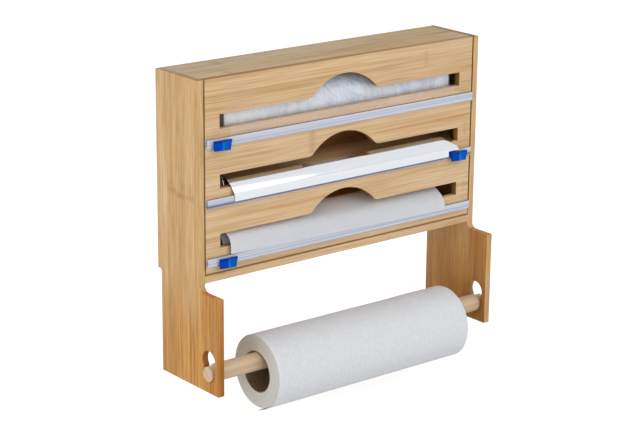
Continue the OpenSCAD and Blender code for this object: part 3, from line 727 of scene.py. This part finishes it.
easing = {
    "leftSide": ("left_side_panel", "cabinet", 0.0004, leftBamboo, "bamboo_side"),
    "rightSide": ("right_side_panel", "cabinet", 0.0004, rightBamboo, "bamboo_side"),
    "topBoard": ("top_board", "cabinet", 0.0003, topBamboo, "bamboo"),
    "bottomBoard": ("bottom_board", "cabinet", 0.0005, frontBamboo, "bamboo"),
    "frontDoor": ("front_door", "door", 0.0005, frontBamboo, "bamboo"),
    "topSlider": ("top_slider", "top_cutter", 0.0004, topBlue, "blue_plastic"),
    "middleSlider": ("middle_slider", "middle_cutter", 0.0004, middleBlue, "blue_plastic"),
    "bottomSlider": ("bottom_slider", "bottom_cutter", 0.0004, bottomBlue, "blue_plastic"),
}

# distances in metres and angles in degrees
easeLook = {"merge": 0.000002, "flat": 0.4, "segments": 2, "sharp": 40, "smooth": 35, "level": 0.0001}


def trimGrip(piece, trim):  # the skirt rises to the left, and the top stays lower
    points = [v.co for v in piece.data.vertices]
    left, right = min(p.x for p in points), max(p.x for p in points)
    foot, head = min(p.z for p in points), max(p.z for p in points)
    for p in points:
        across = (p.x - left) / (right - left)
        if p.z > head - easeLook["level"]:
            p.z -= trim["top"]
        elif p.z < foot + easeLook["level"]:
            a, b = trim["foot"][:2] if across < trim["foot"][1][0] else trim["foot"][1:]
            p.z += a[1] + (b[1] - a[1]) * (across - a[0]) / (b[0] - a[0])


def easedPiece(name, node, body, width, finish, slot):
    pick(nodes[node])
    bpy.ops.object.duplicate()
    piece = bpy.context.object
    bpy.ops.object.parent_clear(type="CLEAR_KEEP_TRANSFORM")
    piece.name = piece.data.name = name
    for key in [k for k in piece.keys() if k.startswith("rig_")]:
        del piece[key]
    bpy.ops.mesh.customdata_custom_splitnormals_clear()
    bpy.ops.object.mode_set(mode="EDIT")
    bpy.ops.mesh.select_all(action="SELECT")
    bpy.ops.mesh.remove_doubles(threshold=easeLook["merge"])
    bpy.ops.mesh.dissolve_limited(angle_limit=math.radians(easeLook["flat"]))
    bpy.ops.object.mode_set(mode="OBJECT")
    if slot == "blue_plastic":
        trimGrip(piece, gripTrim)
    ease = piece.modifiers.new("ease", "BEVEL")
    ease.width, ease.segments = width, easeLook["segments"]
    ease.limit_method, ease.angle_limit = "ANGLE", math.radians(easeLook["sharp"])
    bpy.ops.object.modifier_apply(modifier="ease")
    bpy.ops.object.shade_smooth_by_angle(angle=math.radians(easeLook["smooth"]))
    paint(piece, finish)
    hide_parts(node)
    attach(piece, body)


for name, (node, body, width, finish, slot) in easing.items():
    easedPiece(name, node, body, width, finish, slot)
for node in ("back_panel", "lower_shelf", "upper_shelf"):
    # the boards inside the box take the copy with painted shade
    dress(node, shadedInnerBamboo)
dress("towel_rod", rodWood)
dress("case_dowels", dowelWood)
# the middle track carries the painted shadow of the foil
for node, finish in (("top_track", trackClear), ("middle_track", trackFoilShadowed), ("bottom_track", trackClear)):
    dress(node, finish)
for node in ("top_blade", "middle_blade", "bottom_blade"):
    dress(node, bladeSteel)
dress("hinge_pins", pinSteel)
dress("strike_plates", pinSteel)
dress("catch_magnets", catchMetal)
for wrap, axis in (("film", filmAxis), ("foil", foilAxis), ("paper", paperAxis), ("towel", towelAxis)):
    dress(wrap + "_core", cardTube(wrap + "Card", axis))
print("boards, door and sliders eased")


# wound rolls, turned up ring by ring

ringLook = {"merge": 0.000001, "same": 1e-7, "smooth": 40}


def turnRing(name, axis, stations, sides):
    clearSelection()
    x, radius = stations[0]
    bpy.ops.mesh.primitive_circle_add(vertices=sides, radius=radius, location=(x, axis[0], axis[1]),
                                      rotation=(0, math.pi / 2, 0))
    piece = bpy.context.object
    piece.name = piece.data.name = name
    settle(piece)
    bpy.ops.object.mode_set(mode="EDIT")
    bpy.ops.mesh.select_all(action="SELECT")
    for (xa, ra), (xb, rb) in zip(stations, stations[1:]):
        bpy.ops.mesh.extrude_edges_move(TRANSFORM_OT_translate={"value": (xb - xa, 0, 0)})
        if abs(rb - ra) > ringLook["same"]:
            bpy.ops.transform.resize(value=(1, rb / ra, rb / ra), center_override=(xb, axis[0], axis[1]))
    bpy.ops.mesh.select_all(action="SELECT")
    bpy.ops.mesh.remove_doubles(threshold=ringLook["merge"])
    bpy.ops.mesh.normals_make_consistent(inside=False)
    bpy.ops.object.mode_set(mode="OBJECT")
    bpy.ops.object.shade_smooth_by_angle(angle=math.radians(ringLook["smooth"]))
    return piece


rollShape = {
    "filmRoll": {
        "node": "film_roll", "core": "film_core", "body": "film", "slot": "film", "finish": filmMilky,
        "sides": 120, "cuts": 90, "lip": 0.0012, "steps": 4, "lump": 0.00035, "lumpPitch": 0.03},
    "foilRoll": {
        "node": "foil_roll", "core": "foil_core", "body": "foil", "slot": "foil", "finish": foilBright,
        "sides": 128, "cuts": 40, "lip": 0.0004, "steps": 2, "lump": 0.00002, "lumpPitch": 0.08},
    "paperRoll": {
        "node": "paper_roll", "core": "paper_core", "body": "paper", "slot": "baking_paper", "finish": parchment,
        "sides": 96, "cuts": 40, "lip": 0.0004, "steps": 3, "lump": 0.0001, "lumpPitch": 0.06},
    "towelRoll": {
        "node": "towel_roll", "core": "towel_core", "body": "towel", "slot": "towel_paper", "finish": towelSoft,
        "sides": 180, "cuts": 120, "lip": 0.0016, "steps": 6, "lump": 0.0002, "lumpPitch": 0.045},
}
windLook = {"coreGap": 0.00002, "proud": 0.00025, "halfStep": 0.0002, "rounding": 0.3, "boreCuts": 8,
            "lumpStretch": 0.7, "lumpGain": 1.6}


def endProfile(inner, outer, lip, steps):  # the layers of the end face stand a little proud of each other
    proud, half = windLook["proud"], windLook["halfStep"]
    face = [(0.0, inner)]
    for i in range(steps):
        r = inner + (outer - lip - inner) * (i + 0.5) / steps
        face += [(proud * (i % 2), r - half), (proud * ((i + 1) % 2), r + half)]
    eased = lip * windLook["rounding"]
    return face + [(0.0, outer - lip), (eased, outer - eased), (lip, outer)]


def woundRoll(name, shape):
    low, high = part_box(shape["node"])
    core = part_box(shape["core"])
    axis = rollAxis(shape["core"])
    inner = (core[1].z - core[0].z) / 2 + windLook["coreGap"]
    outer = high.y - axis[0] if shape["node"] != "towel_roll" else high.z - axis[1]
    outer -= shape["lump"]
    lip, cuts = shape["lip"], shape["cuts"]
    face = endProfile(inner, outer, lip, shape["steps"])
    length = high.x - low.x
    span = [low.x + lip + (length - 2 * lip) * i / cuts for i in range(1, cuts)]
    stations = [(low.x + dx, r) for dx, r in face] + [(x, outer) for x in span]
    stations += [(high.x - dx, r) for dx, r in reversed(face)]
    boreCuts = windLook["boreCuts"]
    stations += [(high.x - length * i / boreCuts, inner) for i in range(1, boreCuts + 1)]
    piece = turnRing(name, axis, stations, shape["sides"])
    for v in piece.data.vertices:  # the wound surface isn't quite true
        dy, dz = v.co.y - axis[0], v.co.z - axis[1]
        reach = math.hypot(dy, dz)
        if reach > outer - lip * 0.5:
            p = Vector((v.co.x, dy * windLook["lumpStretch"], dz * windLook["lumpStretch"])) / shape["lumpPitch"]
            lump = max(-1.0, min(1.0, windLook["lumpGain"] * noise.noise(p)))
            grow = 1 + shape["lump"] * lump / reach
            v.co.y, v.co.z = axis[0] + dy * grow, axis[1] + dz * grow
    paint(piece, shape["finish"])
    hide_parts(shape["node"])
    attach(piece, shape["body"])


for name, shape in rollShape.items():
    woundRoll(name, shape)
print("rolls wound")


# wraps drawn out through the slots, in mm behind the front of the box and above the feet

wrapSmooth = 50  # degrees
arcCuts, curveCuts, bendCuts = 14, 30, 6


def arcPath(centre, radius, start, end, count):
    turns = [math.radians(start + (end - start) * i / count) for i in range(count + 1)]
    return [(centre[0] + radius * math.cos(turn), centre[1] + radius * math.sin(turn)) for turn in turns]


def curvePath(a, b, c, d, count):  # a cubic curve, without its first point
    out = []
    for i in range(1, count + 1):
        t = i / count
        weights = ((1 - t) ** 3, 3 * t * (1 - t) ** 2, 3 * t * t * (1 - t), t ** 3)
        out.append(tuple(sum(w * p[k] for w, p in zip(weights, (a, b, c, d))) for k in (0, 1)))
    return out


def evenPath(points, count):  # the same line with its points at even distances, and its length
    runs = [0.0]
    for a, b in zip(points, points[1:]):
        runs.append(runs[-1] + math.hypot(b[0] - a[0], b[1] - a[1]))
    out, k = [], 0
    for i in range(count + 1):
        want = runs[-1] * i / count
        while k < len(runs) - 2 and runs[k + 1] < want:
            k += 1
        t = (want - runs[k]) / max(runs[k + 1] - runs[k], 1e-9)
        out.append(tuple(a + (b - a) * t for a, b in zip(points[k], points[k + 1])))
    return out, runs[-1]


def drawnWrap(name, placeAt, cuts, thickness):
    clearSelection()
    bpy.ops.mesh.primitive_grid_add(x_subdivisions=cuts[0], y_subdivisions=cuts[1], size=1)
    piece = bpy.context.object
    piece.name = piece.data.name = name
    for v in piece.data.vertices:
        v.co = placeAt(v.co.x + 0.5, v.co.y + 0.5)
    if thickness:
        wall = piece.modifiers.new("wall", "SOLIDIFY")
        wall.thickness, wall.offset = thickness, 0.0
        bpy.ops.object.modifier_apply(modifier="wall")
    bpy.ops.object.shade_smooth_by_angle(angle=math.radians(wrapSmooth))
    return piece


foilShape = {
    "axis": (25.6, 205.0), "radius": 16.5, "slope": 16.0, "wrap": 40, "end": 193.3,
    "fall": ((6.63, 216.8), (-4.0, 209.5), (-4.0, 200.5)), "left": -149.4, "right": 156.4,
    "slip": 4.2, "slipZ": (222, 198), "slipBulge": 1.5, "slipAhead": 12,
    "droop": 4.5, "droopReach": 18.0, "droopZ": (196, 210), "droopY": (18, 8),
    "ripple": 0.05, "ripplePitch": 60, "rippleRows": 4, "seed": 3.0, "stillBelow": 199, "stillAhead": -2,
    "cuts": (90, 60), "thickness": 0.0001, "blend": ((6, 215), (17, 219))}
paperShape = {  # pairs are for the left edge and the right edge
    "axis": (30.6, 140.6), "radius": 21.5, "slope": (6.0, 25.0), "wrap": 40, "reach": (2.0, 5.2),
    "turn": ((-2.4, 158.5), (-2.6, 148.6)), "foot": ((-4.0, 144.0), (-4.0, 139.0)), "end": (138.6, 133.6),
    "left": -150.4, "right": 140.9, "ripple": 0.15, "ripplePitch": 60, "rippleRows": 4, "seed": 9.0,
    "stillBelow": 139, "stillAhead": -2, "cuts": (60, 60), "thickness": 0.00012, "blend": ((7, 156), (21, 161))}
filmShape = {
    "axis": (34.6, 276.0), "radius": 25.45, "leave": (150, 180), "left": -148.2, "right": 154.6,
    "front": -0.5, "lip": 270.8, "inBend": 1.3, "outBend": 1.2, "above": 1.4, "end": 262.1,
    "ripple": 0.08, "ripplePitch": 30, "rippleRows": 5, "seed": 5.0,
    "cuts": (140, 72), "blend": ((2, 270), (8.8, 277))}


def acrossAt(s, u):
    return s["left"] + (s["right"] - s["left"]) * u


def rippleAt(s, x, t):
    return s["ripple"] * noise.noise(Vector((x / s["ripplePitch"], t * s["rippleRows"], s["seed"])))


def rippledPlace(s, x, y, z, ripple, lower=0.0):  # the wrap lies still on the track and in front of the door
    fy, fz = shop(y + (ripple if z > s["stillBelow"] else 0), z - lower + (ripple if y > s["stillAhead"] else 0))
    return Vector((x / 1000, fy, fz))


def blendWrap(piece):  # the place goes into the mesh
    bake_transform(piece)


def makeFoil(s):
    rows = s["cuts"][1]
    leave = 90 + s["slope"]
    onRoll = arcPath(s["axis"], s["radius"], leave - s["wrap"], leave, arcCuts)
    drawn = onRoll + curvePath(onRoll[-1], *s["fall"], curveCuts) + [(s["fall"][2][0], s["end"])]
    path, length = evenPath(drawn, rows)
    width = s["right"] - s["left"]

    def placeAt(u, t):
        y, z = path[round(t * rows)]
        slip = s["slip"] * ramp(z, *s["slipZ"]) ** s["slipBulge"] if y < s["slipAhead"] else 0.0
        x = acrossAt(s, u) + slip
        near = max(0.0, (u - 1) * width / s["droopReach"] + 1)
        droop = s["droop"] * near * near * ramp(z, *s["droopZ"]) * ramp(y, *s["droopY"])
        return rippledPlace(s, x, y, z, rippleAt(s, x, t), droop)

    piece = drawnWrap("foilWrap", placeAt, s["cuts"], s["thickness"])
    paint(piece, foilBright)
    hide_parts("foil_sheet")
    blendWrap(piece)


def makePaper(s):
    columns, rows = s["cuts"]

    def between(pair, u):  # from the left edge to the right edge
        if isinstance(pair[0], tuple):
            return tuple(a + (b - a) * u for a, b in zip(*pair))
        return pair[0] + (pair[1] - pair[0]) * u

    def fallAt(u):
        slope = between(s["slope"], u)
        onRoll = arcPath(s["axis"], s["radius"], 90 + slope - s["wrap"], 90 + slope, arcCuts)
        leave = onRoll[-1]
        reach = between(s["reach"], u)
        ahead = (reach, leave[1] - (leave[0] - reach) * math.tan(math.radians(slope)))
        foot = between(s["foot"], u)
        curve = curvePath(leave, ahead, between(s["turn"], u), foot, curveCuts)
        return evenPath(onRoll + curve + [(foot[0], between(s["end"], u))], rows)

    falls = [fallAt(k / columns) for k in range(columns + 1)]

    def placeAt(u, t):
        y, z = falls[round(u * columns)][0][round(t * rows)]
        x = acrossAt(s, u)
        return rippledPlace(s, x, y, z, rippleAt(s, x, t))

    piece = drawnWrap("paperWrap", placeAt, s["cuts"], s["thickness"])
    paint(piece, parchmentSheet)
    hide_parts("paper_sheet")
    blendWrap(piece)


def makeFilm(s):
    rows = s["cuts"][1]
    lip, front, inBend, outBend = s["lip"], s["front"], s["inBend"], s["outBend"]
    down = s["axis"][0] - s["radius"]
    drawn = arcPath(s["axis"], s["radius"], *s["leave"], 2 * bendCuts) + [(down, lip + s["above"])]
    drawn += arcPath((down - inBend, lip + inBend), inBend, 0, -90, bendCuts) + [(front + outBend, lip)]
    drawn += arcPath((front + outBend, lip - outBend), outBend, 90, 180, bendCuts) + [(front, s["end"])]
    path, length = evenPath(drawn, rows)

    def placeAt(u, t):
        y, z = path[round(t * rows)]
        x = acrossAt(s, u)
        return Vector((x / 1000, *shop(y + rippleAt(s, x, t), z)))

    piece = drawnWrap("filmWrap", placeAt, s["cuts"], 0.0)
    paint(piece, filmSheer)
    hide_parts("film_sheet")
    blendWrap(piece)


makeFoil(foilShape)
makePaper(paperShape)
makeFilm(filmShape)
print("wraps drawn out")


# loose end of the towel, which stands off below the roll

tailShape = {"left": -126.9, "right": 135.6, "from": 200, "to": 240, "skinSteps": 14, "risen": 8, "sink": 1.6,
             "skin": 0.1, "run": 19.0, "curl": 12.0, "runSteps": 10, "ripple": 0.1, "ripplePitch": 20,
             "rippleRows": 3, "seed": 1.0, "cuts": (80, 24), "thickness": 0.0004}


def makeTail(s):
    rows = s["cuts"][1]
    axisY, axisZ = towelAxis[0] * 1000, towelAxis[1] * 1000
    radius = (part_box("towel_roll")[1].z - towelAxis[1]) * 1000 + s["skin"]
    drawn = []
    for k in range(s["skinSteps"] + 1):  # it comes up out of the roll's skin
        turn = math.radians(s["from"] + (s["to"] - s["from"]) * k / s["skinSteps"])
        reach = radius - s["sink"] * max(0.0, 1 - k / s["risen"])
        drawn.append((axisY + reach * math.cos(turn), axisZ + reach * math.sin(turn)))
    step = s["run"] / s["runSteps"]
    for k in range(s["runSteps"]):  # it stands off straight and curls up a little at its end
        lean = math.radians(s["to"] + 90 + s["curl"] * k / (s["runSteps"] - 1))
        drawn.append((drawn[-1][0] + math.cos(lean) * step, drawn[-1][1] + math.sin(lean) * step))
    path, length = evenPath(drawn, rows)

    def placeAt(u, t):
        y, z = path[round(t * rows)]
        x = acrossAt(s, u)
        return Vector((x, y + rippleAt(s, x, t), z)) / 1000

    piece = drawnWrap("towelTail", placeAt, s["cuts"], s["thickness"])
    paint(piece, towelSoft)
    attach(piece, "towel")


makeTail(tailShape)
print("towel tail hung")


# floor, light and background

studio = {"floorDrop": 0.03, "floorSize": 14, "floor": (0.86, 0.86, 0.86, 1), "white": (1, 1, 1, 1),
          "lift": 0.55, "mirrorLift": 0.36, "fill": 0.6, "aim": (0, -0.05, -0.12),
          "lamps": {"leftLamp": {"place": (-2.2, -0.5, 0.3), "size": 2.0, "power": 17.6},
                    "frontLamp": {"place": (0.5, -2.4, 1.0), "size": 2.4, "power": 22.0}}}


def setFloor(s):  # it shows white in pictures and mirrors, and keeps the shadow
    clearSelection()
    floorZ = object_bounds()[0].z - s["floorDrop"]
    bpy.ops.mesh.primitive_plane_add(size=s["floorSize"], location=(0, 0, floorZ))
    floor = bpy.context.object
    floor.name = "studioFloor"
    finish = bpy.data.materials.new("paleFloor")
    tree = emptyTree(finish)
    rays = addNode(tree, "LightPath").outputs
    seen = larger(tree, rays["Is Camera Ray"], rays["Is Transmission Ray"])
    mirrored = times(tree, rays["Is Glossy Ray"], s["mirrorLift"])
    base = addNode(tree, "BsdfDiffuse", {"Color": s["floor"]})
    glow = addNode(tree, "Emission", {"Color": s["white"], "Strength": timesPlus(tree, seen, s["lift"], mirrored)})
    both = addNode(tree, "AddShader", {0: base.outputs[0], 1: glow.outputs[0]})
    addNode(tree, "OutputMaterial", {0: both.outputs[0]})
    paint(floor, finish)
    floor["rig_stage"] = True


def setWorld(s):  # white where it is seen, and a softer fill elsewhere
    world = bpy.data.worlds.new("whiteRoom")
    bpy.context.scene.world = world
    tree = emptyTree(world)
    rays = addNode(tree, "LightPath").outputs
    seen = larger(tree, larger(tree, rays["Is Camera Ray"], rays["Is Glossy Ray"]), rays["Is Transmission Ray"])
    level = spread(tree, seen, 0.0, 1.0, s["fill"], 1.0)
    back = addNode(tree, "Background", {"Color": s["white"], "Strength": level})
    addNode(tree, "OutputWorld", {0: back.outputs[0]})


def setLamps(s):
    for name, lamp in s["lamps"].items():
        clearSelection()
        bpy.ops.object.light_add(type="AREA", location=lamp["place"])
        light = bpy.context.object
        light.name = name
        light.data.shape = "SQUARE"
        light.data.size = lamp["size"]
        light.data.energy = lamp["power"]
        aim = Vector(s["aim"]) - Vector(lamp["place"])
        light.rotation_euler = aim.to_track_quat("-Z", "Y").to_euler()


setFloor(studio)
setWorld(studio)
setLamps(studio)
bpy.context.scene.view_settings.view_transform = "Standard"
print("studio set")
